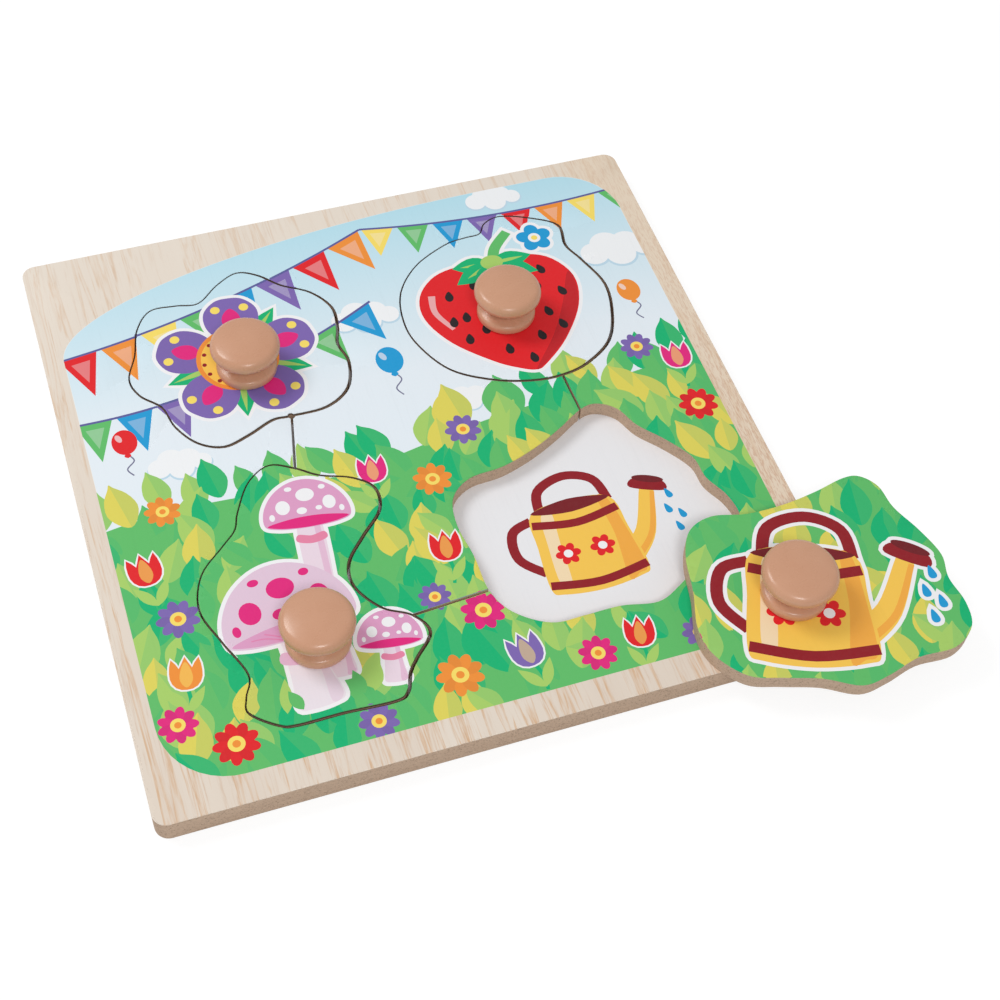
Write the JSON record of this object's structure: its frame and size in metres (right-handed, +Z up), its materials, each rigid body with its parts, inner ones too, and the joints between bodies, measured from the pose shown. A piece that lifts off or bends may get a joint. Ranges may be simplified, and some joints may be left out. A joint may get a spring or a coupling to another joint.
{
  "type": "wooden peg puzzle",
  "caption": "Square wooden peg puzzle board with a picture print, sawn recesses and lift-out picture pieces with turned knobs; one piece lies on the board's front corner.",
  "frame": {"origin": "centre of the board's underside", "axes": "+X to the right, +Y to the back, +Z up out of the printed face"},
  "size_m": [0.2584, 0.245, 0.0304],
  "materials": {
    "printed_board": "pale ash veneer on fibreboard, printed and satin lacquered",
    "backing": "white coated fibreboard",
    "knob": "turned, tan satin lacquer",
    "screw": "zinc plated"
  },
  "bodies": {
    "board": {"frame_board": "printed_board", "backing_board": "backing"},
    "flower": {"flower_piece": "printed_board", "flower_knob": "knob", "flower_screw": "screw"},
    "strawberry": {"strawberry_piece": "printed_board", "strawberry_knob": "knob", "strawberry_screw": "screw"},
    "toadstool": {"toadstool_piece": "printed_board", "toadstool_knob": "knob", "toadstool_screw": "screw"},
    "can": {"can_piece": "printed_board", "can_knob": "knob", "can_screw": "screw"}
  },
  "joints": [
    {"name": "flower_lift", "type": "slide", "parent": "board", "child": "flower", "axis": [0, 0, 1], "range_m": [0, 0.04]},
    {"name": "strawberry_lift", "type": "slide", "parent": "board", "child": "strawberry", "axis": [0, 0, 1], "range_m": [0, 0.04]},
    {"name": "toadstool_lift", "type": "slide", "parent": "board", "child": "toadstool", "axis": [0, 0, 1], "range_m": [0, 0.04]},
    {"name": "can_lift", "type": "slide", "parent": "board", "child": "can", "axis": [0, 0, 1], "range_m": [0, 0.04]}
  ]
}
